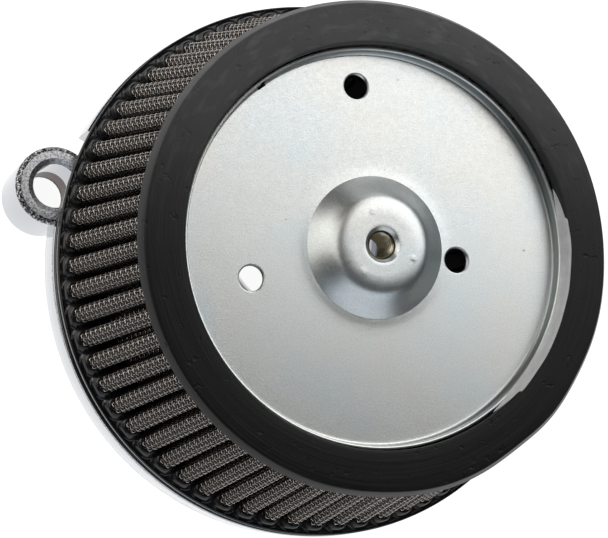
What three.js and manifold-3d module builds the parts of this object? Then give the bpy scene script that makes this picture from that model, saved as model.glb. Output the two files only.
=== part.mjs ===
// Motorcycle air filter: a tapered pleated element with a rubber front ring and a steel end
// plate, sitting on a chromed backplate that bolts to the throttle body and the two heads.
// Millimetres. +Z runs from the engine side out along the filter axis; +X and +Y lie in the
// backplate, and the object stands on the rear faces of the backplate's bosses at Z = 0.
import * as THREE from "three";
import { mergeVertices } from "three/addons/utils/BufferGeometryUtils.js";
import Module from "manifold-3d";

const wasm = await Module();
wasm.setup();

// ---- driving dimensions ----

const ROUND = 64; // sides of the large round parts
const HORN_ROUND = 48; // sides of the intake horn
const SMALL_ROUND = 28; // sides of holes and bosses
const FIT = 0.1; // clearance left between neighbouring pieces

const frontFace = 84.5; // outer face of the rubber ring
const flangeFront = 31.1; // front face of the rear end cap's flange
const flangeThickness = 5;
const plateFront = flangeFront - flangeThickness - FIT; // seat of the filter on the backplate
const skirtRear = 13.1; // rear edge of the backplate's skirt

const flangeRadius = 82.4;
const flangeInner = 65;
const skirtRadius = 82.8;
const skirtWall = 2.6;
const plateThickness = 4.5;

const bossRadius = 11.9;
const boltBoreRadius = 6.6;
const throatX = -6.3; // throttle bore centre, from the filter axis
const throatY = 10.5;
const bossX = -81.3; // left breather boss, from the filter axis
const bossY = 25.1;
const skirtGapStart = 149.5; // degrees round the filter axis, where the skirt stops at the left boss
const skirtGapEnd = 163;

const throatRadius = 23;
const neckRadius = 31;
const hornLipRadius = 33;
const hornLipZ = 40;
const hornWall = 2.4;

const sealOuterRadius = 9.2; // counterbore for a breather seal in a boss's rear face
const sealDepth = 2.4;
const grooveInner = throatRadius + 2.2; // groove for the throttle seal
const grooveOuter = throatRadius + 5;
const grooveDepth = 2.2;

const ringRadius = 70;
const ringRearRadius = 71.2;
const ringInner = 58;
const ringThickness = 3.1;

const pleatCount = 67;
const pleatPhase = 153.2; // degrees, centre of the first pleat
const pleatRear = { tip: 79.9, root: 69.2, tipWidth: 4.9, rootWidth: 4.3 };
const pleatFront = { tip: 68.7, root: 59.9, tipWidth: 4.3, rootWidth: 3.7 };
const screenThickness = 0.3;
const mediaThickness = 0.6;

const panZ = 77.1; // outer face of the end plate's flat
const panThickness = 1.2;
const panRimRadius = ringInner - 0.3;
const panRimZ = 81.2;
const panBend = 0.9;

const hatBaseRadius = 20.6;
const hatShoulderRadius = 14.6;
const hatFlatRadius = 11.2;
const hatHeight = 6;
const hatHoleRadius = 5.2;

const nutFlangeRadius = 10.6;
const nutBodyRadius = 7.2;
const nutLength = 12;
const nutBoreRadius = 3.4;

const screwHoles = [
  { x: -3.7, y: 46.7, radius: 4 },
  { x: 25.2, y: -3.7, radius: 4 },
  { x: -37.4, y: -8.8, radius: 4 },
];
const slot = { x: -32.5, y: 45.8, width: 2.7, height: 1.2, angle: 125 };
const screwPostRadius = 7;
const screwBoreRadius = 3.3;

// The bounding box is centred on X = 0, so the filter axis stands a little to the right.
const axisX = (bossRadius - bossX - skirtRadius) / 2;

// ---- materials ----

const finishes = {
  chrome: [0xd8dadd, 0.08, 1],
  zinc: [0xb9bec0, 0.35, 0.9],
  ringRubber: [0x2b2b2c, 0.7, 0],
  pottingBlack: [0x0d0d0e, 0.2, 0],
  steelMesh: [0x9a9088, 0.45, 0.8],
  gauze: [0x141414, 0.95, 0],
  sealRubber: [0x1c1c1c, 0.6, 0],
  sealant: [0xd9d6cc, 0.3, 0],
};

function material(finish) {
  const [color, roughness, metalness] = finishes[finish];
  return new THREE.MeshStandardMaterial({ color, roughness, metalness });
}

// ---- geometry helpers ----

// Turns a closed outline of [radius, height] points round the Z axis.
function turned(outline, sides = ROUND) {
  const points = [...outline, outline[0]].map(([r, z]) => new THREE.Vector2(r, z));
  let doubleArea = 0;
  for (let i = 0; i + 1 < points.length; i += 1) doubleArea += points[i].cross(points[i + 1]);
  if (doubleArea < 0) points.reverse();
  return new THREE.LatheGeometry(points, sides).rotateX(Math.PI / 2);
}

// An upright cylinder from z0 to z1.
function post(x, y, radius, z0, z1, sides = SMALL_ROUND) {
  return new THREE.CylinderGeometry(radius, radius, z1 - z0, sides)
    .rotateX(Math.PI / 2)
    .translate(x, y, (z0 + z1) / 2);
}

// The points of an arc from one angle to another, in degrees.
function arc(cx, cz, radius, from, to, steps) {
  return Array.from({ length: steps + 1 }, (_, i) => {
    const angle = THREE.MathUtils.degToRad(from + ((to - from) * i) / steps);
    return [cx + radius * Math.cos(angle), cz + radius * Math.sin(angle)];
  });
}

// A flat wedge of a ring between two angles, from z0 to z1.
function ringSector(inner, outer, fromDeg, toDeg, z0, z1, steps = 12) {
  const rim = [...arc(0, 0, outer, fromDeg, toDeg, steps), ...arc(0, 0, inner, toDeg, fromDeg, steps)];
  const shape = new THREE.Shape(rim.map(([x, y]) => new THREE.Vector2(x, y)));
  return new THREE.ExtrudeGeometry(shape, { depth: z1 - z0, bevelEnabled: false, curveSegments: 1 })
    .translate(0, 0, z0);
}

function solid(geometry) {
  const bare = geometry.index ? geometry.toNonIndexed() : geometry.clone();
  bare.deleteAttribute("normal");
  bare.deleteAttribute("uv");
  const merged = mergeVertices(bare, 1e-3);
  const vertProperties = new Float32Array(merged.attributes.position.array);
  const triVerts = new Uint32Array(merged.index.array);
  return new wasm.Manifold(new wasm.Mesh({ numProp: 3, vertProperties, triVerts }));
}

function geometryOf(manifold) {
  const mesh = manifold.getMesh();
  const geometry = new THREE.BufferGeometry();
  geometry.setAttribute("position", new THREE.BufferAttribute(mesh.vertProperties, 3));
  geometry.setIndex(new THREE.BufferAttribute(mesh.triVerts, 1));
  return geometry;
}

// ---- backplate ----

// Section of the bell mouth: two quarter ellipses from the throat up to the lip.
function hornProfile() {
  const steps = 6;
  const foot = plateFront - 2;
  const rise = hornLipZ - foot;
  const flare = hornLipRadius - throatRadius;
  const curve = (lip, width, height) =>
    Array.from({ length: steps + 1 }, (_, i) => {
      const turn = (Math.PI / 2) * (i / steps);
      return [lip - width * Math.sin(turn), foot + height * Math.cos(turn)];
    });
  const inner = curve(hornLipRadius, flare, rise);
  const outer = curve(hornLipRadius + hornWall, flare - 2, rise - 1);
  return [...inner, ...outer.reverse()];
}

function breatherBoss(x, y) {
  const chamfer = 1.3;
  return turned(
    [
      [0, 0],
      [bossRadius, 0],
      [bossRadius, plateFront - chamfer],
      [bossRadius - chamfer, plateFront],
      [0, plateFront],
    ],
    SMALL_ROUND,
  ).translate(x, y, 0);
}

// The bolt bore with its front countersink and the seal's counterbore in the rear face.
function breatherBore(x, y) {
  const countersink = 1.6;
  return turned(
    [
      [0, -1],
      [sealOuterRadius, -1],
      [sealOuterRadius, sealDepth],
      [boltBoreRadius, sealDepth],
      [boltBoreRadius, plateFront - countersink * 0.7],
      [boltBoreRadius + countersink, plateFront],
      [boltBoreRadius + countersink, plateFront + 1],
      [0, plateFront + 1],
    ],
    SMALL_ROUND,
  ).translate(x, y, 0);
}

const bossCentres = { left: [bossX, bossY], right: [2 * throatX - bossX, bossY] };

function backplate() {
  const edge = 1.2;
  const dish = turned([
    [0, plateFront - plateThickness],
    [skirtRadius - skirtWall - 2, plateFront - plateThickness],
    [skirtRadius - skirtWall, plateFront - plateThickness - 2],
    [skirtRadius - skirtWall, skirtRear],
    [skirtRadius, skirtRear],
    [skirtRadius, plateFront - edge],
    [skirtRadius - edge * 0.3, plateFront - edge * 0.3],
    [skirtRadius - edge, plateFront],
    [0, plateFront],
  ]);
  const gap = ringSector(
    skirtRadius - skirtWall - 2.2,
    skirtRadius + 2,
    skirtGapStart,
    skirtGapEnd,
    skirtRear - 1,
    plateFront + 1,
  );
  let body = solid(dish).subtract(solid(gap));
  const horn = turned(hornProfile(), HORN_ROUND).translate(throatX, throatY, 0);
  const neck = post(throatX, throatY, neckRadius, 0, plateFront - 1, HORN_ROUND);
  body = body.add(solid(neck));
  for (const hole of screwHoles) {
    body = body.add(solid(post(hole.x, hole.y, screwPostRadius, 0, plateFront)));
  }
  for (const [x, y] of Object.values(bossCentres)) {
    body = body.add(solid(breatherBoss(x, y)));
  }
  const hornSeat = post(throatX, throatY, throatRadius + 2, plateFront - 6, hornLipZ + 1, HORN_ROUND);
  const throat = post(throatX, throatY, throatRadius, -1, hornLipZ + 1, HORN_ROUND);
  body = body.subtract(solid(hornSeat)).add(solid(horn)).subtract(solid(throat));
  for (const [x, y] of Object.values(bossCentres)) {
    body = body.subtract(solid(breatherBore(x, y)));
  }
  for (const hole of screwHoles) {
    body = body.subtract(solid(post(hole.x, hole.y, screwBoreRadius, -1, plateFront + 1)));
  }
  return geometryOf(body.subtract(solid(throttleGroove())));
}

// ---- seals ----

function throttleGroove() {
  return turned(
    [
      [grooveInner, -1],
      [grooveOuter, -1],
      [grooveOuter, grooveDepth],
      [grooveInner, grooveDepth],
    ],
    HORN_ROUND,
  ).translate(throatX, throatY, 0);
}

// A seal with rounded corners that fills its groove apart from the fit clearance.
function faceSeal(inner, outer, depth, sides) {
  const round = 0.5;
  const low = 0.05;
  const high = depth - FIT;
  const outline = [
    [inner + FIT, low + round],
    [inner + FIT + round, low],
    [outer - FIT - round, low],
    [outer - FIT, low + round],
    [outer - FIT, high - round],
    [outer - FIT - round, high],
    [inner + FIT + round, high],
    [inner + FIT, high - round],
  ];
  return turned(outline, sides);
}

// ---- filter element ----

// Moves every side of a closed outline inwards by a distance; its corners run anticlockwise.
function inset(outline, distance) {
  const side = (a, b) => {
    const length = Math.hypot(b[0] - a[0], b[1] - a[1]);
    return [-(b[1] - a[1]) / length, (b[0] - a[0]) / length];
  };
  return outline.map((corner, i) => {
    const before = outline.at(i - 1);
    const after = outline[(i + 1) % outline.length];
    const n1 = side(before, corner);
    const n2 = side(corner, after);
    const scale = distance / (1 + n1[0] * n2[0] + n1[1] * n2[1]);
    return [corner[0] + scale * (n1[0] + n2[0]), corner[1] + scale * (n1[1] + n2[1])];
  });
}

// The outer face of the pleat pack at one end: each pleat is a flat tip between two walls.
function pleatOutline({ tip, root, tipWidth, rootWidth }) {
  const outline = [];
  for (let i = 0; i < pleatCount; i += 1) {
    const centre = THREE.MathUtils.degToRad(pleatPhase + (360 * i) / pleatCount);
    const corners = [
      [root, -rootWidth],
      [tip, -tipWidth],
      [tip, tipWidth],
      [root, rootWidth],
    ];
    for (const [radius, width] of corners) {
      const angle = centre + Math.asin(width / 2 / radius);
      outline.push([radius * Math.cos(angle), radius * Math.sin(angle)]);
    }
  }
  return outline;
}

// One pleated layer, from one depth below the pack's outer face to another.
function pleatedLayer(outerDepth, innerDepth) {
  const rearZ = flangeFront + FIT;
  const frontZ = frontFace - ringThickness - FIT;
  const rear = pleatOutline(pleatRear);
  const front = pleatOutline(pleatFront);
  const loops = [
    [inset(rear, outerDepth), rearZ],
    [inset(front, outerDepth), frontZ],
    [inset(front, innerDepth), frontZ],
    [inset(rear, innerDepth), rearZ],
  ];
  const count = rear.length;
  const positions = loops.flatMap(([loop, z]) => loop.flatMap(([x, y]) => [x, y, z]));
  const index = [];
  for (let strip = 0; strip < 4; strip += 1) {
    const near = strip * count;
    const far = ((strip + 1) % 4) * count;
    for (let i = 0; i < count; i += 1) {
      const j = (i + 1) % count;
      index.push(near + i, near + j, far + j, near + i, far + j, far + i);
    }
  }
  const geometry = new THREE.BufferGeometry();
  geometry.setAttribute("position", new THREE.Float32BufferAttribute(positions, 3));
  geometry.setIndex(index);
  return geometry;
}

const screenGap = screenThickness + FIT;
const mediaEnd = screenGap + mediaThickness;

function rearEndCap() {
  const back = plateFront + FIT;
  const bevel = 0.7;
  return turned([
    [flangeInner, back],
    [flangeRadius - bevel, back],
    [flangeRadius, back + bevel],
    [flangeRadius, flangeFront - bevel],
    [flangeRadius - bevel, flangeFront],
    [flangeInner, flangeFront],
  ]);
}

function frontEndCap() {
  const rear = frontFace - ringThickness;
  const bevel = 0.4;
  return turned([
    [ringInner, rear],
    [ringRearRadius - bevel, rear],
    [ringRearRadius, rear + bevel],
    [ringRadius, frontFace - bevel],
    [ringRadius - bevel, frontFace],
    [ringInner + bevel, frontFace],
    [ringInner, frontFace - bevel],
  ]);
}

// ---- end plate ----

// Half section of the pressed plate, outer face from the centre hole to the rim.
function endPlateFace() {
  const shoulder = arc(hatFlatRadius, panZ + hatHeight - 4, 4, 90, 45, 3);
  const bendRadius = panRimRadius - panThickness - panBend;
  return [
    [hatHoleRadius, panZ + hatHeight],
    ...shoulder,
    [hatShoulderRadius + 2.6, panZ + 1.9],
    [hatBaseRadius, panZ],
    ...arc(bendRadius, panZ + panBend, panBend, 270, 360, 4),
    [panRimRadius - panThickness, panRimZ],
  ];
}

// The rear face follows the outer face, one sheet thickness behind it.
function endPlateBack() {
  const drop = hatHeight - panThickness;
  const bendRadius = panRimRadius - panThickness - panBend;
  return [
    [panRimRadius, panRimZ],
    ...arc(bendRadius, panZ + panBend, panBend + panThickness, 360, 270, 4),
    [hatBaseRadius - 0.6, panZ - panThickness],
    [hatShoulderRadius - 0.2, panZ + drop - 1.2],
    [nutFlangeRadius + 0.6, panZ + drop],
    [4.2, panZ + drop],
  ];
}

function endPlate() {
  let plate = solid(turned([...endPlateFace(), ...endPlateBack()]));
  for (const hole of screwHoles) {
    plate = plate.subtract(solid(post(hole.x, hole.y, hole.radius, panZ - 5, panZ + 5)));
  }
  const slotCutter = new THREE.BoxGeometry(slot.width, slot.height, 10)
    .rotateZ(THREE.MathUtils.degToRad(slot.angle - 90))
    .translate(slot.x, slot.y, panZ);
  return geometryOf(plate.subtract(solid(slotCutter)));
}

function weldNut() {
  const top = panZ + hatHeight - panThickness - FIT;
  const flange = 2;
  return turned(
    [
      [nutBoreRadius, top],
      [nutFlangeRadius, top],
      [nutFlangeRadius, top - flange],
      [nutBodyRadius, top - flange],
      [nutBodyRadius, top - nutLength],
      [nutBoreRadius, top - nutLength],
    ],
    HORN_ROUND,
  );
}

// Cured sealant in the corner between the plate's rim and the rubber, on one side only.
function sealantBead() {
  const z0 = panRimZ + FIT;
  const z1 = frontFace - 0.45;
  return ringSector(ringInner - 1.3, ringInner - FIT, -55, 25, z0, z1, 32);
}

// ---- assembly ----

const leftSeal = faceSeal(boltBoreRadius, sealOuterRadius, sealDepth, SMALL_ROUND);
const rightSeal = leftSeal.clone();

const pieces = {
  backplate: [backplate(), "chrome"],
  throttle_seal: [
    faceSeal(grooveInner, grooveOuter, grooveDepth, HORN_ROUND).translate(throatX, throatY, 0),
    "sealRubber",
  ],
  left_breather_seal: [leftSeal.translate(...bossCentres.left, 0), "sealRubber"],
  right_breather_seal: [rightSeal.translate(...bossCentres.right, 0), "sealRubber"],
  rear_end_cap: [rearEndCap(), "pottingBlack"],
  outer_screen: [pleatedLayer(0, screenThickness), "steelMesh"],
  filter_media: [pleatedLayer(screenGap, mediaEnd), "gauze"],
  inner_screen: [pleatedLayer(mediaEnd + FIT, mediaEnd + FIT + screenThickness), "steelMesh"],
  front_end_cap: [frontEndCap(), "ringRubber"],
  end_plate: [endPlate(), "zinc"],
  weld_nut: [weldNut(), "zinc"],
  sealant_bead: [sealantBead(), "sealant"],
};

const group = new THREE.Group();
group.position.x = axisX;
for (const [name, [geometry, finish]] of Object.entries(pieces)) {
  const mesh = new THREE.Mesh(geometry, material(finish));
  mesh.name = name;
  group.add(mesh);
}

export default group;
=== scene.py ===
"""Motorcycle air filter: the visual model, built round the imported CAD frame, in metres."""

import math

import bmesh
import bpy
import numpy as np
from mathutils import Matrix, Vector


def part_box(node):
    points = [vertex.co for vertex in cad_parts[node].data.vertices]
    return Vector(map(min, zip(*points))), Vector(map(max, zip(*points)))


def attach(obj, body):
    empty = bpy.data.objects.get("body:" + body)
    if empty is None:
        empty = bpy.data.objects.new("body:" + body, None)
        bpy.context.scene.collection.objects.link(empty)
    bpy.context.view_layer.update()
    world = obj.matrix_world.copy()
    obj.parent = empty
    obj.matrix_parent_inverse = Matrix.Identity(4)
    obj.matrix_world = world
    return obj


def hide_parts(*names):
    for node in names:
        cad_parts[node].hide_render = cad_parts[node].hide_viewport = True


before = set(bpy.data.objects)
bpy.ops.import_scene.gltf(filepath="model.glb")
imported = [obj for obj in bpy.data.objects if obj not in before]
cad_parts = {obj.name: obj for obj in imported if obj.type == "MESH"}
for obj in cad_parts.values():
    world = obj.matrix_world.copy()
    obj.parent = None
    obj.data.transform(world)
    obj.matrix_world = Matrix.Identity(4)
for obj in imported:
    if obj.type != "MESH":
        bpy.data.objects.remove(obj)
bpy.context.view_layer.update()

MM = 0.001
rng = np.random.default_rng(67)

# ---- sizes read from the frame, in millimetres ----


def node_box(node):
    """The lowest and highest corners of a CAD node, in millimetres."""
    low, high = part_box(node)
    return np.array(low) / MM, np.array(high) / MM


ring_low, ring_high = node_box("front_end_cap")
flange_low, flange_high = node_box("rear_end_cap")
pan_low, pan_high = node_box("end_plate")
plate_low, plate_high = node_box("backplate")
screen_low, screen_high = node_box("outer_screen")
nut_low, nut_high = node_box("weld_nut")
seal_low, seal_high = node_box("throttle_seal")
left_seal_low, left_seal_high = node_box("left_breather_seal")
right_seal_low, right_seal_high = node_box("right_breather_seal")

AXIS = np.array([(ring_low[0] + ring_high[0]) / 2, (ring_low[1] + ring_high[1]) / 2])
FRONT = ring_high[2]
RING_REAR = ring_low[2]
RING_REAR_R = (ring_high[0] - ring_low[0]) / 2
RING_R = RING_REAR_R - 1.2
RING_INNER = 58.0
FLANGE_R = (flange_high[0] - flange_low[0]) / 2
FLANGE_FRONT = flange_high[2]
FLANGE_REAR = flange_low[2]
PLATE_FRONT = FLANGE_REAR - 0.1
SKIRT_R = plate_high[0] - AXIS[0]
SKIRT_REAR = 13.1
SKIRT_WALL = 2.6
PLATE_REAR = PLATE_FRONT - 4.5
PAN_R = (pan_high[0] - pan_low[0]) / 2
PAN_FLAT = 77.1
PAN_RIM = 81.2
SHEET = 1.2
HAT_TOP = PAN_FLAT + 6.0
HAT_SLOPE_R = [8.6, 10.5, 12.0, 13.3, 14.4, 15.5, 17.5, 20.6]
HAT_SLOPE = [0, 4, 10, 20, 34, 40, 40, 33]  # degrees
THROAT = (seal_low[:2] + seal_high[:2]) / 2
THROAT_R = 23.0
NECK_R = 31.0
HORN_LIP_R = 33.0
HORN_LIP = plate_high[2]
LEFT_BOSS = (left_seal_low[:2] + left_seal_high[:2]) / 2
RIGHT_BOSS = (right_seal_low[:2] + right_seal_high[:2]) / 2
BOSS_R = LEFT_BOSS[0] - plate_low[0]
BOLT_BORE_R = 6.6
SEAL_R = 9.2
SEAL_DEPTH = 2.4
SKIRT_GAP = (149.5, 163.0)  # degrees
GROOVE_INNER = 25.2
GROOVE_OUTER = 28.0
GROOVE_DEPTH = 2.2

PLEATS = 67
PLEAT_PHASE = math.radians(153.2)
PLEAT_REAR = {"tip": 79.9, "root": 69.2, "width": 4.9, "root_width": 4.3}
PLEAT_FRONT = {"tip": 68.7, "root": 59.9, "width": 4.3, "root_width": 3.7}
LEAST_VALLEY_R = 0.15
ROOT_STEPS = 3
WALL_STEPS = 10
TIP_STEPS = 8
GAUZE_OUTER_INSET = 0.42
GAUZE_INNER_INSET = 1.0
GAUZE_OVERLAP = 0.05

WIRE_R = 0.16
WIRE_INSET = 0.17
WEFT_CRIMP = 0.26
WARP_CRIMP = 0.13
CROSSINGS = 18  # upright wires in one pleat
WEFT_PITCH = 1.6
SIDES = 4
SECTORS = 4

SCREW_HOLES = [AXIS + (-3.7, 46.7), AXIS + (25.2, -3.7), AXIS + (-37.4, -8.8)]
SCREW_HOLE_R = 4.0
SCREW_BORE_R = 3.3
SCREW_POST_R = 7.0

CENTRE_HOLE_R = 5.0
WELD_CIRCLE_R = 10.0
WELD_MARKS = [(105, 1.5), (-23, 1.3), (-129, 1.9)]  # degrees, radius
CORE_R = 0.001  # a solid turned piece starts this far from its axis


# ---- mesh helpers ----


def show(name, verts, faces, sharp=35.0):
    """A smooth-shaded mesh object from millimetre points, sharp where faces meet steeply."""
    mesh = bpy.data.meshes.new(name)
    mesh.from_pydata((np.asarray(verts, float) * MM).tolist(), [], faces)
    mesh.validate()
    mesh.update()
    obj = bpy.data.objects.new(name, mesh)
    bpy.context.collection.objects.link(obj)
    finish_shading(obj, sharp)
    return obj


def finish_shading(obj, sharp):
    """Smooth shading, kept sharp where faces meet at more than an angle in degrees."""
    obj.data.shade_smooth()
    obj.data.set_sharp_from_angle(angle=math.radians(sharp))


def grid_faces(rows, columns, wrap_rows=True, wrap_columns=True, first=0):
    """Quads over a rows x columns grid of points that may close on itself either way."""
    r = np.arange(rows if wrap_rows else rows - 1)[:, None]
    c = np.arange(columns if wrap_columns else columns - 1)[None, :]
    r2 = (r + 1) % rows
    c2 = (c + 1) % columns
    quads = np.stack(
        [r * columns + c, r * columns + c2, r2 * columns + c2, r2 * columns + c], axis=-1
    )
    return (quads.reshape(-1, 4) + first).tolist()


def outward(obj):
    """Turns every face to point out of its closed shell."""
    work = bmesh.new()
    work.from_mesh(obj.data)
    bmesh.ops.recalc_face_normals(work, faces=work.faces)
    work.to_mesh(obj.data)
    work.free()
    obj.data.update()


def end_faces(rows, columns):
    """The two faces that close a grid whose rows wrap and whose columns don't."""
    first = [k * columns for k in range(rows)]
    last = [k * columns + columns - 1 for k in range(rows)]
    return [first, last[::-1]]


def round_axis(radius, height, angle, centre=AXIS):
    """Points at rows of radii and heights, each row running round an upright axis."""
    x = centre[0] + radius * np.cos(angle)
    y = centre[1] + radius * np.sin(angle)
    z = np.broadcast_to(height, x.shape)
    return np.stack([x, y, z], axis=-1).reshape(-1, 3)


def turned(name, outline, centre, segments):
    """A closed outline of (radius, height) turned round an upright axis."""
    outline = np.asarray(outline, float)
    angle = np.linspace(0, 2 * np.pi, segments, endpoint=False)
    verts = round_axis(outline[:, :1], outline[:, 1:], angle, centre)
    obj = show(name, verts, grid_faces(len(outline), segments))
    outward(obj)
    return obj


def arc(cx, cz, radius, start, end, steps):
    """Points of an arc in the (radius, height) plane, angles in degrees."""
    angle = np.radians(np.linspace(start, end, steps + 1))
    return [(cx + radius * math.cos(a), cz + radius * math.sin(a)) for a in angle]


def combine(obj, other, operation):
    """Boolean of two closed objects; the second one is used up."""
    modifier = obj.modifiers.new("join", "BOOLEAN")
    modifier.operation = operation
    modifier.solver = "EXACT"
    modifier.object = other
    bpy.context.view_layer.update()
    graph = bpy.context.evaluated_depsgraph_get()
    result = bpy.data.meshes.new_from_object(obj.evaluated_get(graph))
    obj.modifiers.clear()
    obj.data = result
    bpy.data.objects.remove(other)
    return obj


def plug(centre, radius, low, high, segments):
    """An upright cylinder used to add or cut."""
    outline = [(CORE_R, low), (radius, low), (radius, high), (CORE_R, high)]
    return turned("cutter", outline, centre, segments)


# ---- materials ----


class Finish:
    """A Principled material with a short way of adding nodes to it."""

    def __init__(self, name, color, metallic=0.0, roughness=0.5):
        self.material = bpy.data.materials.new(name)
        self.material.use_nodes = True
        self.tree = self.material.node_tree
        self.shader = self.tree.nodes["Principled BSDF"]
        self.set("Base Color", (*color, 1))
        self.set("Metallic", metallic)
        self.set("Roughness", roughness)
        self.position = self.add("ShaderNodeTexCoord").outputs["Object"]

    def put(self, target, value):
        """Links a socket, or sets a plain value."""
        if isinstance(value, bpy.types.NodeSocket):
            self.tree.links.new(value, target)
        else:
            target.default_value = value

    def set(self, socket, value):
        """Gives an input of the shader a socket or a plain value."""
        self.put(self.shader.inputs[socket], value)

    def add(self, kind, inputs=None, **settings):
        """A new node with its settings and inputs filled in."""
        made = self.tree.nodes.new(kind)
        for key, value in settings.items():
            setattr(made, key, value)
        for key, value in (inputs or {}).items():
            self.put(made.inputs[key], value)
        return made

    def math(self, operation, a, b=0.0, clamp=False):
        """The result of arithmetic on one or two values."""
        node = self.add("ShaderNodeMath", {0: a, 1: b}, operation=operation, use_clamp=clamp)
        return node.outputs[0]

    def noise(self, scale, detail, vector=None):
        """Cloudy noise from 0 to 1, over the object's own position unless told otherwise."""
        inputs = {"Vector": vector or self.position, "Scale": scale, "Detail": detail}
        return self.add("ShaderNodeTexNoise", inputs).outputs[0]

    def ramp(self, factor, *stops):
        """Greys or colours blended between stops of (place, value)."""
        node = self.add("ShaderNodeValToRGB", {0: factor})
        elements = node.color_ramp.elements
        while len(elements) < len(stops):
            elements.new(0.5)
        for element, (place, value) in zip(elements, stops):
            element.position = place
            element.color = (value, value, value, 1) if isinstance(value, float) else (*value, 1)
        return node.outputs[0]

    def mix(self, factor, a, b):
        """A blend of two colours, each a socket or three numbers."""
        node = self.add("ShaderNodeMix", data_type="RGBA")
        self.put(node.inputs["Factor"], factor)
        self.put(node.inputs["A"], a if isinstance(a, bpy.types.NodeSocket) else (*a, 1))
        self.put(node.inputs["B"], b if isinstance(b, bpy.types.NodeSocket) else (*b, 1))
        return node.outputs["Result"]

    def rescale(self, value, low, high):
        """A value from 0 to 1 moved to run from low to high."""
        inputs = {"Value": value, "To Min": low, "To Max": high}
        return self.add("ShaderNodeMapRange", inputs).outputs[0]

    def stretched(self, scale):
        """The object's position, scaled differently along each axis."""
        inputs = {"Vector": self.position, "Scale": scale}
        return self.add("ShaderNodeMapping", inputs).outputs[0]

    def from_axis(self, centre):
        """How far each point is from an upright axis in x, in y and in all, and its height."""
        parts = self.add("ShaderNodeSeparateXYZ", {0: self.position})
        x = self.math("SUBTRACT", parts.outputs[0], centre[0] * MM)
        y = self.math("SUBTRACT", parts.outputs[1], centre[1] * MM)
        squares = self.math("ADD", self.math("MULTIPLY", x, x), self.math("MULTIPLY", y, y))
        return x, y, self.math("SQRT", squares), parts.outputs[2]

    def polar(self, radial, angular, upright=0.0, centre=AXIS):
        """Coordinates that run round an axis, for turned and concentric patterns."""
        x, y, radius, height = self.from_axis(centre)
        inputs = {
            0: self.math("MULTIPLY", radius, radial),
            1: self.math("MULTIPLY", self.math("ARCTAN2", y, x), angular),
            2: self.math("MULTIPLY", height, upright),
        }
        return self.add("ShaderNodeCombineXYZ", inputs).outputs[0]

    def ramp_between(self, value, low, high):
        """Smooth 0 to 1 as a length goes from low to high in millimetres, either way round."""
        inputs = {"Value": value, "From Min": low * MM, "From Max": high * MM}
        return self.add("ShaderNodeMapRange", inputs, interpolation_type="SMOOTHSTEP").outputs[0]

    def bump(self, height, strength, distance):
        """Adds relief on top of any that is there already."""
        inputs = {"Height": height, "Strength": strength, "Distance": distance}
        last = self.shader.inputs["Normal"]
        if last.is_linked:
            inputs["Normal"] = last.links[0].from_socket
        self.set("Normal", self.add("ShaderNodeBump", inputs).outputs[0])


def rubber_finish():
    """Moulded black rubber: concentric streaks, pits, and pale blooming and scuffs, made stronger
    towards +Y as painted light.
    """
    f = Finish("ring_rubber", (0.006, 0.006, 0.0065), roughness=0.42)
    f.set("Specular IOR Level", 0.22)
    streaks = f.noise(1.0, 6.0, f.polar(1500, 1.6, 900))
    pale = f.ramp(streaks, (0.35, 0.0), (0.7, 1.0))
    base = f.mix(pale, (0.002, 0.002, 0.0022), (0.008, 0.008, 0.0085))
    y = f.add("ShaderNodeSeparateXYZ", {0: f.position}).outputs[1]
    # Painted light: this ramp grows the pale blooming and scuffs towards +Y, so the ring's top is
    # painted lighter as if lit from above.
    reach = f.ramp_between(y, -10, 70)
    patches = f.rescale(f.noise(34, 7.0), 0.2, 1.15)
    scuffs = f.ramp(f.noise(1.0, 5.0, f.polar(420, 9.0)), (0.52, 0.0), (0.75, 0.5))
    # Real blooming and scuffs, with the painted light of the +Y ramp laid over them.
    bloom_and_lit_top = f.math("MULTIPLY", reach, f.math("ADD", patches, scuffs), clamp=True)
    f.set("Base Color", f.mix(bloom_and_lit_top, base, (0.085, 0.085, 0.088)))
    f.set("Roughness", f.rescale(f.noise(60, 6.0), 0.3, 0.5))
    f.bump(streaks, 0.25, 0.0002)
    pits = f.ramp(f.noise(420, 2.0), (0.24, 0.0), (0.34, 1.0))
    f.bump(pits, 0.5, 0.00025)
    f.bump(f.noise(2600, 3.0), 0.2, 0.0001)
    return f.material


def zinc_finish():
    """Satin zinc plating over sheet steel: fine grain, cloudy blue tint and hairline scratches."""
    tint = (0.70, 0.715, 0.71)
    f = Finish("zinc_plate", tint, metallic=1.0, roughness=0.36)
    warm = tuple(c * k for c, k in zip(tint, (1.02, 1.0, 0.97)))
    cool = tuple(c * k for c, k in zip(tint, (0.93, 1.0, 1.04)))
    clouds = f.ramp(f.noise(30, 3.0), (0.38, 0.0), (0.66, 1.0))
    base = f.mix(clouds, warm, cool)
    grain = f.noise(2400, 3.0)
    speckle = f.ramp(grain, (0.3, 0.0), (0.7, 1.0))
    base = f.mix(f.math("MULTIPLY", speckle, 0.5), base, (0.42, 0.43, 0.43))
    hair = f.noise(1.0, 5.0, f.stretched((60, 3800, 60)))
    scratch = f.ramp(hair, (0.74, 0.0), (0.79, 1.0))
    patch = f.ramp(f.noise(45, 2.0), (0.52, 0.0), (0.66, 1.0))
    base = f.mix(f.math("MULTIPLY", scratch, patch), base, (0.9, 0.9, 0.9))
    specks = f.ramp(f.noise(420, 1.0), (0.8, 0.0), (0.82, 1.0))
    base = f.mix(f.math("MULTIPLY", specks, 0.5), base, (0.2, 0.2, 0.2))
    # Painted shade: the rim's wall is darkened on the +X side below the lip.
    f.set("Base Color", f.mix(painted_rim_shade(f), base, (0.16, 0.18, 0.18)))
    f.set("Roughness", f.rescale(f.noise(900, 4.0), 0.27, 0.41))
    f.bump(grain, 0.3, 0.00008)
    f.bump(f.noise(110, 3.0), 0.05, 0.0004)
    for angle, size in WELD_MARKS:
        pitted = f.math("MULTIPLY", weld_mark(f, angle, size), f.noise(1100, 3.0))
        f.bump(pitted, 0.3, 0.0004)
    return f.material


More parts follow.
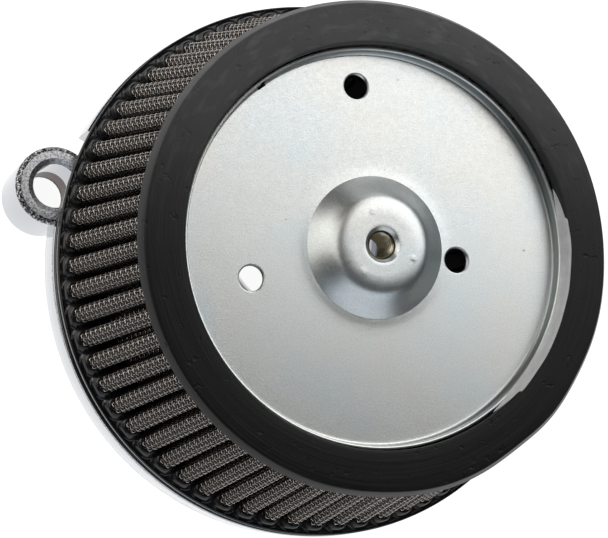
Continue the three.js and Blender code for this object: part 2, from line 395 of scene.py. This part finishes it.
def painted_rim_shade(f):
    """Painted shade on the wall of the plate's rim, on the +X side and below the bright lip,
    standing in for the dark surroundings the wall reflects.
    """
    x, _, radius, z = f.from_axis(AXIS)
    wall = f.ramp_between(radius, PAN_R - SHEET - 0.95, PAN_R - SHEET - 0.1)
    lip = f.ramp_between(z, PAN_RIM - 0.3, PAN_RIM - 0.75)
    side = f.math("MULTIPLY", f.math("DIVIDE", x, radius), 1.2, clamp=True)
    return f.math("MULTIPLY", f.math("MULTIPLY", wall, lip), f.math("MULTIPLY", side, 0.85))


def weld_mark(f, angle, size):
    """A soft spot on the hat's flat top where the nut's projections were welded."""
    turn = math.radians(angle)
    x = AXIS[0] + WELD_CIRCLE_R * math.cos(turn)
    y = AXIS[1] + WELD_CIRCLE_R * math.sin(turn)
    spot = Vector((x, y, HAT_TOP)) * MM
    away = f.add("ShaderNodeVectorMath", {0: f.position, 1: spot}, operation="DISTANCE")
    return f.ramp_between(away.outputs["Value"], size, 0)


def chrome_finish():
    """Mirror chrome with the faint waves of a polished casting."""
    f = Finish("chrome", (0.48, 0.495, 0.52), metallic=1.0, roughness=0.05)
    f.set("Roughness", f.rescale(f.noise(300, 4.0), 0.03, 0.1))
    f.bump(f.noise(90, 2.0), 0.04, 0.0004)
    return f.material


def cast_chrome_finish():
    """Chrome over an unpolished cast edge, which glitters."""
    f = Finish("chrome_cast", (0.5, 0.5, 0.51), metallic=1.0, roughness=0.2)
    lumps = f.noise(1500, 3.0)
    f.set("Base Color", f.ramp(lumps, (0.46, (0.02, 0.02, 0.022)), (0.66, (0.6, 0.6, 0.62))))
    f.bump(f.noise(1300, 3.0), 0.9, 0.0005)
    return f.material


def machined_finish():
    """Machined and plated face with fine turning marks."""
    f = Finish("chrome_machined", (0.62, 0.62, 0.65), metallic=1.0, roughness=0.42)
    marks = f.noise(1.0, 3.0, f.polar(2600, 3.0, 0.0, LEFT_BOSS))
    speckle = f.ramp(f.noise(1700, 3.0), (0.3, 0.0), (0.56, 1.0))
    base = f.mix(marks, (0.62, 0.62, 0.66), (0.92, 0.92, 0.95))
    f.set("Base Color", f.mix(speckle, (0.2, 0.2, 0.21), base))
    f.bump(marks, 0.3, 0.0001)
    f.bump(speckle, 0.25, 0.0002)
    return f.material


def bore_finish():
    """The unplated deep end of a bore, brown from the plating bath."""
    f = Finish("chrome_bore", (0.05, 0.03, 0.02), metallic=0.5, roughness=0.4)
    f.set("Base Color", f.mix(f.noise(500, 4.0), (0.06, 0.034, 0.022), (0.13, 0.08, 0.055)))
    f.bump(f.noise(900, 3.0), 0.2, 0.0002)
    return f.material


def potting_finish():
    """Glossy black polyurethane potting."""
    f = Finish("potting", (0.006, 0.006, 0.0065), roughness=0.16)
    f.set("Specular IOR Level", 0.4)
    f.set("Roughness", f.rescale(f.noise(260, 4.0), 0.08, 0.26))
    f.set("Base Color", f.mix(f.noise(120, 4.0), (0.004, 0.004, 0.0045), (0.014, 0.014, 0.015)))
    f.bump(f.noise(190, 3.0), 0.08, 0.0006)
    return f.material


def wire_finish():
    """Epoxy-dulled steel wire, warm grey, with painted light from a stored value: lighter on raised
    knuckles, painted shade below.
    """
    f = Finish("steel_mesh", (0.6, 0.54, 0.5), metallic=1.0, roughness=0.34)
    unshaded_tone = f.mix(f.noise(240, 4.0), (0.62, 0.55, 0.5), (0.98, 0.9, 0.82))
    # Painted light and shade per point: bright where a wire rides over, dark below it and on the
    # wires beneath.
    painted_light = f.add("ShaderNodeAttribute", attribute_name="painted_light").outputs["Fac"]
    f.set("Base Color", f.mix(f.ramp(painted_light, (0.3, 0.0), (0.75, 1.0)), (0.008, 0.006, 0.005), unshaded_tone))
    f.set("Roughness", f.rescale(f.noise(700, 2.0), 0.24, 0.42))
    return f.material


def gauze_finish():
    """Oiled black cotton gauze behind the wire."""
    f = Finish("gauze", (0.012, 0.011, 0.011), roughness=0.8)
    threads = f.noise(1.0, 3.0, f.polar(900, 400, 1600))
    f.set("Base Color", f.mix(threads, (0.004, 0.004, 0.004), (0.02, 0.018, 0.017)))
    f.bump(threads, 0.5, 0.0003)
    f.set("Sheen Weight", 0.1)
    return f.material


def screen_finish():
    """Inner wire screen, drawn as a mottled pattern of metal and shadow."""
    f = Finish("inner_mesh", (0.3, 0.28, 0.26), metallic=0.8, roughness=0.5)
    weave = f.noise(1.0, 1.0, f.polar(300, 260, 560))
    f.set("Base Color", f.mix(weave, (0.03, 0.03, 0.03), (0.5, 0.46, 0.42)))
    f.bump(weave, 0.6, 0.0004)
    return f.material


def seal_finish():
    """Plain black rubber of the three seals."""
    f = Finish("seal_rubber", (0.012, 0.012, 0.012), roughness=0.45)
    f.set("Roughness", f.rescale(f.noise(400, 4.0), 0.35, 0.6))
    f.bump(f.noise(1500, 3.0), 0.1, 0.0001)
    return f.material


def sealant_finish():
    """Cured sealant squeezed from the joint: milky and slightly clear."""
    f = Finish("sealant", (0.7, 0.7, 0.67), roughness=0.3)
    f.set("Transmission Weight", 0.35)
    f.set("Base Color", f.mix(f.noise(260, 5.0), (0.55, 0.57, 0.58), (0.88, 0.89, 0.9)))
    f.bump(f.noise(500, 4.0), 0.5, 0.0005)
    return f.material


def thread_finish():
    """Zinc plating with a yellow cast inside the weld nut, and painted shade in the thread roots.
    """
    f = Finish("nut_zinc", (0.66, 0.6, 0.44), metallic=1.0, roughness=0.3)
    unshaded_tone = f.mix(f.noise(350, 4.0), (0.6, 0.54, 0.38), (0.9, 0.86, 0.72))
    # Painted shade: the stored value darkens the thread roots and the entry chamfer.
    painted_light = f.add("ShaderNodeAttribute", attribute_name="painted_light").outputs["Fac"]
    f.set("Base Color", f.mix(f.ramp(painted_light, (0.15, 0.0), (0.6, 1.0)), (0.04, 0.03, 0.015), unshaded_tone))
    f.bump(f.noise(1500, 3.0), 0.2, 0.0001)
    return f.material


def place(obj, material, slot, *nodes):
    """Gives a finished piece its material and body, and hides the CAD nodes it stands for; its slot
    is not used.
    """
    obj.data.materials.clear()
    obj.data.materials.append(material)
    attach(obj, "root")
    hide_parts(*nodes)


# ---- pleats ----


def pleat_line(shape, inset):
    """Half of one pleat in its own plane, from the middle of the valley to the crest.

    Points are (distance from the filter axis, distance from the pleat's middle). The crest
    and the valley are round; inset moves the line towards the inside of the pleat.
    """
    half_pitch = math.pi / PLEATS
    tip_round = shape["width"] / 2 - inset
    crest = shape["tip"] - inset
    root = shape["root"] - inset
    valley = shape["root"] * math.sin(half_pitch)
    root_half = shape["root_width"] / 2 - inset
    valley_round = max(valley - root_half, LEAST_VALLEY_R)
    points = []
    for a in np.linspace(0, math.pi / 2, ROOT_STEPS, endpoint=False):
        along = root + valley_round * (1 - math.cos(a))
        points.append((along, root_half + valley_round * (1 - math.sin(a))))
    wall_low = root + valley_round
    wall_high = crest - tip_round
    for k in np.linspace(0, 1, WALL_STEPS, endpoint=False):
        along = wall_low + (wall_high - wall_low) * k
        points.append((along, root_half + (tip_round - root_half) * k))
    for a in np.linspace(0, math.pi / 2, TIP_STEPS + 1):
        points.append((wall_high + tip_round * math.sin(a), tip_round * math.cos(a)))
    return np.array(points)


def full_pleat(shape, inset):
    """A whole pleat from valley to valley, without repeating the last valley."""
    half = pleat_line(shape, inset)
    other = half[::-1][1:-1] * (1, -1)
    return np.concatenate([half, other])


def resample(line, count):
    """The line's points spaced evenly along it, with the pleat's last point left off."""
    closed = np.concatenate([line, line[:1] * (1, -1)])
    steps = np.hypot(*np.diff(closed, axis=0).T)
    along = np.concatenate([[0], np.cumsum(steps)])
    wanted = np.linspace(0, along[-1], count, endpoint=False)
    return np.stack([np.interp(wanted, along, closed[:, k]) for k in range(2)], axis=1)


def around(line):
    """Repeats one pleat's points round the filter; returns x, y for every point in order."""
    # The pleat runs from its +side valley to its -side valley, so pleats go clockwise.
    centre = PLEAT_PHASE - 2 * np.pi * np.arange(PLEATS) / PLEATS
    r, t = line[:, 0], line[:, 1]
    x = AXIS[0] + np.outer(np.cos(centre), r) - np.outer(np.sin(centre), t)
    y = AXIS[1] + np.outer(np.sin(centre), r) + np.outer(np.cos(centre), t)
    return np.stack([x.ravel(), y.ravel()], axis=1)


def pleat_surface(z, inset, count=None):
    """The pleated outline at height z, blended between the rear and front shapes.

    With a count, every pleat gets that many evenly spaced points.
    """
    share = (z - screen_low[2]) / (screen_high[2] - screen_low[2])
    rear = full_pleat(PLEAT_REAR, inset)
    front = full_pleat(PLEAT_FRONT, inset)
    line = rear + (front - rear) * share
    if count:
        line = resample(line, count)
    return around(line)


def gauze_piece():
    """The dark pleated media: an outer and an inner face joined at the ends."""
    heights = np.linspace(screen_low[2] - GAUZE_OVERLAP, screen_high[2] + GAUZE_OVERLAP, 5)
    outer = [(pleat_surface(z, GAUZE_OUTER_INSET), z) for z in heights]
    inner = [(pleat_surface(z, GAUZE_INNER_INSET), z) for z in heights[::-1]]
    rows = [np.column_stack([xy, np.full(len(xy), z)]) for xy, z in outer + inner]
    verts = np.concatenate(rows)
    obj = show("pleated_gauze", verts, grid_faces(len(rows), len(rows[0])), 60)
    outward(obj)
    place(obj, gauze_finish(), "gauze", "filter_media")


def wire_surface(lines_z):
    """Where the wires cross, with unit vectors along the hoops, up the pleats and outwards."""
    rows = []
    for z in lines_z:
        xy = pleat_surface(z, WIRE_INSET, CROSSINGS)
        rows.append(np.column_stack([xy, np.full(len(xy), z)]))
    points = np.array(rows)
    tangent = np.roll(points, -1, axis=1) - np.roll(points, 1, axis=1)
    tangent /= np.linalg.norm(tangent, axis=2, keepdims=True)
    rise = np.gradient(points, axis=0)
    rise /= np.linalg.norm(rise, axis=2, keepdims=True)
    normal = np.cross(rise, tangent)
    normal /= np.linalg.norm(normal, axis=2, keepdims=True)
    return points, tangent, rise, normal


def tube_rows(centres, across, normal):
    """Square sections round each centre, a corner outwards, in the plane of two unit vectors."""
    turns = 2 * np.pi * np.arange(SIDES) / SIDES + np.pi / 2
    section = [np.cos(a) * across + np.sin(a) * normal for a in turns]
    return centres[..., None, :] + WIRE_R * np.stack(section, axis=-2)


def tubes(sections, first=0):
    """Points and faces of open tubes, one for each row of sections."""
    count, length = sections.shape[:2]
    faces = []
    for k in range(count):
        faces += grid_faces(length, SIDES, wrap_rows=False, first=first + k * length * SIDES)
    return sections.reshape(-1, 3), faces


def tube_painted_light(lifted):
    """Painted light for each point of a wire: bright on raised knuckles, painted shade below."""
    raised = lifted[..., None] > 0
    return np.where(raised, (1.0, 0.5, 0.0, 0.5), (0.25, 0.05, 0.0, 0.05))


def paint(obj, values):
    """Stores one number per point for the material to read."""
    layer = obj.data.attributes.new("painted_light", "FLOAT", "POINT")
    layer.data.foreach_set("value", np.asarray(values, np.float32).ravel())


def woven_pieces():
    """Real woven wires over the pleats: hoops that follow each pleat, crossed by straight ones."""
    low = screen_low[2] + 0.5
    count = int((screen_high[2] - screen_low[2] - 0.6) / WEFT_PITCH)
    heights = low + WEFT_PITCH * np.arange(count)
    points, tangent, rise, normal = wire_surface(heights)
    sign = np.where(np.add.outer(np.arange(count), np.arange(points.shape[1])) % 2, 1.0, -1.0)
    lift = sign[..., None] * normal
    weft = tube_rows(points + WEFT_CRIMP * lift, rise, normal)
    warp = tube_rows(points - WARP_CRIMP * lift, tangent, normal)
    # Painted light: hoops are bright on their raised knuckles and shaded below, and the upright
    # wires are painted darker overall.
    weft_painted_light = tube_painted_light(sign)
    warp_painted_light = 0.58 * tube_painted_light(-sign)
    material = wire_finish()
    total = points.shape[1]
    edges = [total * k // SECTORS for k in range(SECTORS + 1)]
    for k in range(SECTORS):
        columns = np.arange(edges[k], edges[k + 1] + 1) % total
        hoops, hoop_faces = tubes(weft[:, columns])
        upright = np.swapaxes(warp[:, columns[:-1]], 0, 1)
        posts, post_faces = tubes(upright, first=len(hoops))
        verts = np.concatenate([hoops, posts])
        obj = show(f"woven_screen_{k + 1}", verts, hoop_faces + post_faces, 180)
        posts_painted_light = np.swapaxes(warp_painted_light[:, columns[:-1]], 0, 1)
        paint(obj, np.concatenate([weft_painted_light[:, columns].ravel(), posts_painted_light.ravel()]))
        place(obj, material, "steel_mesh", "outer_screen")


# ---- end caps ----


def ring_piece():
    """Moulded ring: a flat face with soft edges, slightly uneven round the rim."""
    segments = 360
    rear_edge = 0.5
    front_edge = 0.7
    inner_edge = 0.6
    outline = (
        [(RING_INNER, RING_REAR), (RING_REAR_R - rear_edge, RING_REAR)]
        + arc(RING_REAR_R - rear_edge, RING_REAR + rear_edge, rear_edge, -60, 10, 4)
        + arc(RING_R - front_edge, FRONT - front_edge, front_edge, 15, 90, 6)
        + [(RING_R - 4, FRONT), (RING_INNER + 4, FRONT)]
        + arc(RING_INNER + inner_edge, FRONT - inner_edge, inner_edge, 90, 180, 5)
    )
    outline = np.array(outline)
    angle = np.linspace(0, 2 * np.pi, segments, endpoint=False)
    waves = np.zeros(segments)
    for k in range(3, 22):
        size = rng.normal(0, 0.09 / k**0.5)
        waves += size * np.cos(k * angle + rng.uniform(0, 6.28))
    lower_right = np.clip(np.cos(angle + math.radians(50)), 0, 1) ** 2
    radius = outline[:, :1] + np.zeros(segments)
    outer = outline[:, 0] > RING_R - 2
    radius[outer] += waves * (0.25 + 1.6 * lower_right) - 0.25
    verts = round_axis(radius, outline[:, 1:], angle)
    obj = show("rubber_ring", verts, grid_faces(len(outline), segments), 50)
    outward(obj)
    place(obj, rubber_finish(), "ring_rubber", "front_end_cap")


def potting_height(radius, offset):
    """Height of the potting's meniscus near a pleat's end, in its own plane."""
    half = PLEAT_REAR["width"] / 2
    dr = np.clip(radius - (PLEAT_REAR["tip"] - half), 0, None)
    distance = np.hypot(dr, offset) - half
    distance = np.clip(distance, 0, None)
    climb = 2.1
    level_width = 0.35
    slope_width = 1.75
    down = np.clip(distance - level_width, 0, None) / slope_width
    return climb * np.clip(1 - down, 0, 1) ** 1.15


def flange_piece():
    """Rear end cap: a poured black rim whose top face climbs round every pleat."""
    per_pleat = 24
    segments = PLEATS * per_pleat
    angle = PLEAT_PHASE + 2 * np.pi * np.arange(segments) / segments
    pitch = 2 * np.pi / PLEATS
    from_pleat = (np.arange(segments) % per_pleat) * (2 * np.pi / segments)
    from_pleat = np.where(from_pleat > pitch / 2, from_pleat - pitch, from_pleat)
    top_radii = np.concatenate([np.linspace(66, 75, 7), np.linspace(75.6, 81.6, 21)])
    top = [(r, FLANGE_FRONT) for r in top_radii]
    edge = 0.6
    rim = arc(FLANGE_R - edge, FLANGE_FRONT - edge, edge, 80, 0, 4)
    side = [(FLANGE_R - 0.1, FLANGE_FRONT - 2.2), (FLANGE_R - 0.5, FLANGE_REAR + 0.6)]
    back = [(FLANGE_R - 1.2, FLANGE_REAR), (65, FLANGE_REAR)]
    outline = np.array(top + rim + side + back)
    radius = outline[:, :1] + np.zeros(segments)
    height = np.repeat(outline[:, 1:], segments, axis=1)
    count = len(top)
    climb = potting_height(radius[:count] * np.cos(from_pleat), radius[:count] * np.sin(from_pleat))
    fade = np.clip((FLANGE_R - 0.9 - radius[:count]) / 0.8, 0, 1)
    height[:count] += climb * fade - 0.45
    verts = round_axis(radius, height, angle)
    obj = show("potted_rear_cap", verts, grid_faces(len(outline), segments), 60)
    outward(obj)
    place(obj, potting_finish(), "potting", "rear_end_cap")


# ---- end plate, nut and sealant ----


def end_plate_piece():
    """Pressed steel plate with its hat, three clearance holes and a small slot."""
    bend = 0.9
    bend_r = PAN_R - SHEET - bend
    hole_r = CENTRE_HOLE_R
    hat_r = np.linspace(8.6, 20.62, 30)
    slope = np.tan(np.radians(np.interp(hat_r, HAT_SLOPE_R, HAT_SLOPE)))
    fall = np.concatenate([[0], np.cumsum((slope[1:] + slope[:-1]) / 2 * np.diff(hat_r))])
    fall *= (HAT_TOP - PAN_FLAT - 0.17) / fall[-1]
    crease = [(20.75, 0.15), (21.0, 0.143), (21.6, 0.1), (22.4, 0.045), (23.6, 0)]
    front = (
        [(hole_r - 0.85, HAT_TOP - 1.15), (hole_r - 0.8, HAT_TOP - 0.8)]
        + arc(hole_r + 0.35, HAT_TOP - 0.3, 0.3, 150, 90, 3)
        + [(6.2, HAT_TOP), (8.1, HAT_TOP)]
        + list(zip(hat_r, HAT_TOP - fall))
        + [(r, PAN_FLAT + z) for r, z in crease]
        + [(26, PAN_FLAT), (30, PAN_FLAT), (42, PAN_FLAT), (bend_r - 0.6, PAN_FLAT)]
        + arc(bend_r, PAN_FLAT + bend, bend, 270, 360, 10)
        + arc(PAN_R - SHEET / 2, PAN_RIM - SHEET / 2, SHEET / 2, 180, 0, 6)
    )
    back = (
        arc(bend_r, PAN_FLAT + bend, bend + SHEET, 360, 270, 10)
        + [(42, PAN_FLAT - SHEET), (30, PAN_FLAT - SHEET), (20.6, PAN_FLAT - SHEET)]
        + [(14.4, HAT_TOP - SHEET - 1.4), (11.2, HAT_TOP - SHEET), (hole_r - 0.85, HAT_TOP - SHEET)]
    )
    obj = turned("end_plate_pressing", front + back, AXIS, 288)
    for centre in SCREW_HOLES:
        obj = combine(obj, hole_cutter(centre), "DIFFERENCE")
    obj = combine(obj, slot_cutter(), "DIFFERENCE")
    finish_shading(obj, 15)
    place(obj, zinc_finish(), "zinc_plate", "end_plate")


def hole_cutter(centre):
    """Cuts a clearance hole whose rolled upper edge catches the light."""
    edge = [(-0.4, -3), (-0.4, -0.5), (-0.36, -0.25), (-0.22, -0.1), (0.08, 0.01), (0.08, 3)]
    outline = (
        [(CORE_R, PAN_FLAT - 3)]
        + [(SCREW_HOLE_R + r, PAN_FLAT + z) for r, z in edge]
        + [(CORE_R, PAN_FLAT + 3)]
    )
    return turned("cutter", outline, centre, 72)


def slot_cutter():
    """A short dark slot near the plate's bend."""
    centre = np.array([AXIS[0] - 32.5, AXIS[1] + 45.8, PAN_FLAT])
    turn = math.radians(35)
    along = np.array([math.cos(turn), math.sin(turn), 0]) * 1.35
    across = np.array([-math.sin(turn), math.cos(turn), 0]) * 0.6
    up = np.array([0, 0, 4.0])
    ends = (-1, 1)
    verts = [centre + a * along + b * across + c * up for c in ends for b in ends for a in ends]
    faces = [(0, 2, 3, 1), (4, 5, 7, 6), (0, 1, 5, 4), (2, 6, 7, 3), (0, 4, 6, 2), (1, 3, 7, 5)]
    return show("cutter", verts, faces)


def weld_nut_piece():
    """Weld nut with a real helical thread down its bore."""
    pitch = 25.4 / 18
    segments = 72
    bore = 3.3
    depth = 0.7
    top = nut_high[2]
    bottom = nut_low[2]
    body = 7.2
    flange = nut_high[0] - AXIS[0]
    flange_thick = 2
    entry_depth = 0.7
    entry_width = 0.75
    angle = np.linspace(0, 2 * np.pi, segments, endpoint=False)
    levels = np.arange(bottom, top + 1e-6, pitch / 8)
    levels[-1] = top
    phase = np.mod(np.subtract.outer(levels, pitch * angle / (2 * np.pi)) / pitch, 1.0)
    groove = 1 - np.abs(2 * phase - 1)
    entry = np.clip((levels - top + entry_depth) / entry_depth, 0, 1)[:, None]
    inner = np.maximum(bore + depth * groove, bore + entry_width * entry)
    shoulder = top - flange_thick
    outer = [(flange, top), (flange, shoulder), (body, shoulder), (body, bottom)]
    rest = np.array([[r] for r, _ in outer]) + np.zeros(segments)
    radius = np.concatenate([inner, rest])
    height = np.concatenate([levels, [z for _, z in outer]])
    verts = round_axis(radius, height[:, None], angle)
    obj = show("threaded_weld_nut", verts, grid_faces(len(height), segments), 40)
    outward(obj)
    # Painted light per point: full on the thread crests, painted shade down in the thread roots, a
    # fixed level outside.
    outside_painted_light = np.full((len(outer), segments), 0.8)
    paint(obj, np.concatenate([1 - (inner - bore) / depth, outside_painted_light]))
    place(obj, thread_finish(), "nut_zinc", "weld_nut")


def sealant_piece():
    """Sealant that fills the gap above the plate's rim on one side and laps onto the ring."""
    segments = 240
    angle = np.radians(np.linspace(-56, 17, segments))
    from_end = np.minimum(angle - angle[0], angle[-1] - angle)
    ends = np.clip(from_end / math.radians(10), 0.03, 1) ** 0.7
    lumps = np.zeros(segments)
    for k in range(2, 12):
        size = rng.uniform(0.2, 1.0)
        lumps += size * np.cos(k * angle * 3.1 + rng.uniform(0, 6.28))
    lumps = (lumps - lumps.min()) / (lumps.max() - lumps.min())
    spill = 0.6 * lumps
    section = [
        (PAN_R - SHEET + 0.1, PAN_RIM + 0.02, 0),
        (PAN_R - SHEET + 0.2, PAN_RIM + 0.25, 0),
        (RING_INNER - 0.5, PAN_RIM + 0.9, 0),
        (RING_INNER - 0.12, FRONT - 0.4, 0),
        (RING_INNER + 0.22, FRONT + 0.05, 0),
        (RING_INNER + 0.4, FRONT + 0.08, 0.6),
        (RING_INNER + 0.45, FRONT - 0.1, 0.6),
        (RING_INNER + 0.02, PAN_RIM + 0.02, 0),
    ]
    corner_r, corner_z = RING_INNER + 0.02, PAN_RIM + 0.05
    radius = np.array([corner_r + (r + out * spill - corner_r) * ends for r, _, out in section])
    height = np.array([corner_z + (z - corner_z) * ends for _, z, _ in section])
    verts = round_axis(radius, height, angle)
    faces = grid_faces(len(section), segments, wrap_columns=False)
    faces += end_faces(len(section), segments)
    obj = show("sealant_residue", verts, faces, 60)
    outward(obj)
    place(obj, sealant_finish(), "sealant", "sealant_bead")


# ---- backplate ----


def dish():
    """The plate with its rolled front edge and skirt, open at the left boss."""
    edge = 0.35
    corner = 2
    rear_edge = 0.5
    inside = SKIRT_R - SKIRT_WALL
    outline = (
        [(CORE_R, PLATE_REAR), (inside - corner, PLATE_REAR)]
        + arc(inside - corner, PLATE_REAR - corner, corner, 90, 0, 5)[1:]
        + [(inside, SKIRT_REAR + 0.4), (inside + 0.4, SKIRT_REAR)]
        + arc(SKIRT_R - rear_edge, SKIRT_REAR + rear_edge, rear_edge, 270, 360, 4)
        + [(SKIRT_R, PLATE_FRONT - 1.5)]
        + arc(SKIRT_R - edge, PLATE_FRONT - edge, edge, 0, 90, 4)
        + [(CORE_R, PLATE_FRONT)]
    )
    obj = turned("cast_backplate", outline, AXIS, 288)
    angle = np.linspace(*np.radians(SKIRT_GAP), 16)
    near, far = inside - 2.2, SKIRT_R + 3
    low, high = SKIRT_REAR - 2, PLATE_FRONT + 2
    radii = np.array([[near], [far], [far], [near]])
    heights = np.array([[low], [low], [high], [high]])
    verts = round_axis(radii, heights, angle)
    faces = grid_faces(4, len(angle), wrap_columns=False) + end_faces(4, len(angle))
    gap = show("cutter", verts, faces)
    outward(gap)
    return combine(obj, gap, "DIFFERENCE")


def boss(centre):
    """A breather bolt's boss with a rounded front edge."""
    chamfer = 1.7
    outline = (
        [(CORE_R, 0), (BOSS_R - 0.5, 0), (BOSS_R, 0.5), (BOSS_R, PLATE_FRONT - chamfer)]
        + arc(BOSS_R - chamfer, PLATE_FRONT - chamfer, chamfer, 12, 84, 6)
        + [(CORE_R, PLATE_FRONT)]
    )
    return turned("boss", outline, centre, 96)


def bolt_bore(centre):
    """Cuts a breather bolt's bore, its countersink and the seal's seat."""
    countersink = 1.6
    outline = [
        (CORE_R, -2),
        (SEAL_R, -2),
        (SEAL_R, SEAL_DEPTH),
        (BOLT_BORE_R, SEAL_DEPTH),
        (BOLT_BORE_R, PLATE_FRONT * 0.43),
        (BOLT_BORE_R, PLATE_FRONT - countersink * 0.75),
        (BOLT_BORE_R + countersink, PLATE_FRONT + 0.01),
        (BOLT_BORE_R + countersink, PLATE_FRONT + 2),
        (CORE_R, PLATE_FRONT + 2),
    ]
    return turned("bore", outline, centre, 96)


def horn():
    """The bell mouth: two quarter ellipses joined by a rounded lip."""
    foot = PLATE_FRONT - 2
    lip = 1.0
    rise = HORN_LIP - lip - foot
    flare = HORN_LIP_R - THROAT_R
    outer_r = HORN_LIP_R + 2 * lip
    outer_flare = flare - 2 * lip
    turn = np.linspace(0, math.pi / 2, 19)
    inner = [(HORN_LIP_R - flare * math.sin(a), foot + rise * math.cos(a)) for a in turn[::-1]]
    rounded = arc(HORN_LIP_R + lip, HORN_LIP - lip, lip, 180, 0, 6)
    outer = [(outer_r - outer_flare * math.sin(a), foot + rise * math.cos(a)) for a in turn[1:]]
    return turned("horn", inner + rounded + outer, THROAT, 160)


def backplate_piece():
    """Chromed casting: dish, neck, horn, screw posts and two breather bosses."""
    obj = dish()
    obj = combine(obj, plug(THROAT, NECK_R, 0, PLATE_FRONT - 1, 128), "UNION")
    for centre in SCREW_HOLES:
        obj = combine(obj, plug(centre, SCREW_POST_R, 0.4, PLATE_FRONT - 1, 48), "UNION")
    for centre in SCREW_HOLES:
        obj = combine(obj, plug(centre, SCREW_BORE_R, -1.7, PLATE_FRONT + 1.3, 46), "DIFFERENCE")
    for centre in (LEFT_BOSS, RIGHT_BOSS):
        obj = combine(obj, boss(centre), "UNION")
    obj = combine(obj, plug(THROAT, THROAT_R + 1.5, PLATE_FRONT - 6, HORN_LIP, 128), "DIFFERENCE")
    obj = combine(obj, horn(), "UNION")
    obj = combine(obj, plug(THROAT, THROAT_R, -2, HORN_LIP + 2, 160), "DIFFERENCE")
    for centre in (LEFT_BOSS, RIGHT_BOSS):
        obj = combine(obj, bolt_bore(centre), "DIFFERENCE")
    groove = [
        (GROOVE_INNER, -2),
        (GROOVE_OUTER, -2),
        (GROOVE_OUTER, GROOVE_DEPTH),
        (GROOVE_INNER, GROOVE_DEPTH),
    ]
    obj = combine(obj, turned("groove", groove, THROAT, 128), "DIFFERENCE")
    finish_shading(obj, 32)
    place(obj, chrome_finish(), "chrome", "backplate")
    for extra in (cast_chrome_finish(), machined_finish(), bore_finish()):
        obj.data.materials.append(extra)
    for face in obj.data.polygons:
        face.material_index = boss_zone(np.array(face.center) / MM)


def boss_zone(centre):
    """0 chrome, 1 cast edge, 2 machined face, 3 unplated bore."""
    for middle in (LEFT_BOSS, RIGHT_BOSS):
        distance = math.hypot(centre[0] - middle[0], centre[1] - middle[1])
        if distance > BOSS_R + 0.1:
            continue
        if centre[2] > PLATE_FRONT - 2.0 and distance > BOSS_R - 1.75:
            return 1
        if centre[2] > PLATE_FRONT - 1.3 and distance > BOLT_BORE_R + 0.05:
            return 2
        if distance < BOLT_BORE_R + 0.2 and centre[2] < PLATE_FRONT * 0.45:
            return 3
    reach = math.hypot(centre[0] - AXIS[0], centre[1] - AXIS[1])
    if abs(reach - SKIRT_R) < 0.2 and PLATE_FRONT - 1.45 < centre[2] < PLATE_FRONT - 0.36:
        return 1
    return 0


# ---- carried-over CAD nodes ----


def dress_nodes():
    """The seals and the inner screen keep their CAD shape and get their own finishes."""
    seals = seal_finish()
    finishes = {
        "throttle_seal": seals,
        "left_breather_seal": seals,
        "right_breather_seal": seals,
        "inner_screen": screen_finish(),
    }
    for node, finish in finishes.items():
        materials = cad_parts[node].data.materials
        materials.clear()
        materials.append(finish)


# ---- stage ----


def camera():
    """The photograph's view, from the -X, -Y side of the filter's axis, on a long lens."""
    data = bpy.data.cameras.new("camera")
    obj = bpy.data.objects.new("camera", data)
    bpy.context.collection.objects.link(obj)
    forward = Vector((0.3305643, 0.1118886, -0.9371276)).normalized()
    up = Vector((0, 0.992948, 0.118553))
    right = forward.cross(up).normalized()
    up = right.cross(forward)
    place_at = Vector((AXIS[0] - 189.133, AXIS[1] - 62.872, FRONT + 467.010)) * MM
    rotation = Matrix((right, up, -forward)).transposed()
    obj.matrix_world = Matrix.Translation(place_at) @ rotation.to_4x4()
    data.sensor_width = 36.0
    data.lens = 106.578947
    data.clip_start = 0.01
    bpy.context.scene.camera = obj


def floor():
    """A wide floor that glows almost white, like the photograph's background."""
    size = 3.0
    mesh = bpy.data.meshes.new("floor")
    corners = [(-size, -size, 0), (size, -size, 0), (size, size, 0), (-size, size, 0)]
    mesh.from_pydata(corners, [], [(0, 1, 2, 3)])
    obj = bpy.data.objects.new("floor", mesh)
    bpy.context.collection.objects.link(obj)
    f = Finish("floor", (0.35, 0.35, 0.35), roughness=0.9)
    f.set("Emission Color", (1, 1, 1, 1))
    f.set("Emission Strength", 0.93)
    obj.data.materials.append(f.material)


def softbox(name, direction, size, power, color):
    """A rectangular light that looks at the object from a direction."""
    distance = 1.2
    data = bpy.data.lights.new(name, "AREA")
    data.shape = "RECTANGLE"
    data.size, data.size_y = size
    data.energy = power
    data.color = color
    obj = bpy.data.objects.new(name, data)
    bpy.context.collection.objects.link(obj)
    way = Vector(direction).normalized()
    obj.location = way * distance + Vector((0, 0, 0.05))
    across = Vector((0, 0, 1)).cross(way) if abs(way.z) < 0.7 else Vector((1, 0, 0))
    across = (across - way * across.dot(way)).normalized()
    obj.rotation_euler = Matrix((across, way.cross(across), way)).transposed().to_euler()


def lights():
    """Five softboxes and a faint sky, set by comparing renders with the photograph."""
    softbox("overhead", (0.52, 0.49, 0.76), (1.1, 1.15), 7.6, (1.0, 0.995, 0.98))
    softbox("left", (-0.71, 0.28, 0.61), (0.95, 1.3), 5.0, (1.0, 0.96, 0.9))
    softbox("upper_left", (-0.78, 0.62, 0.16), (0.8, 0.35), 3.4, (1.0, 0.99, 0.97))
    softbox("top", (0.25, 0.95, 0.28), (0.9, 0.4), 0.8, (0.93, 0.98, 1.0))
    softbox("bottom", (-0.03, -0.88, 0.48), (1.6, 0.85), 3.9, (0.86, 0.93, 1.0))
    world = bpy.data.worlds.new("world")
    bpy.context.scene.world = world
    world.use_nodes = True
    background = world.node_tree.nodes["Background"]
    background.inputs["Color"].default_value = (0.93, 0.96, 1.0, 1)
    background.inputs["Strength"].default_value = 0.05


bpy.context.scene.view_settings.view_transform = "Standard"
camera()
floor()
lights()
backplate_piece()
gauze_piece()
woven_pieces()
flange_piece()
ring_piece()
end_plate_piece()
weld_nut_piece()
sealant_piece()
dress_nodes()
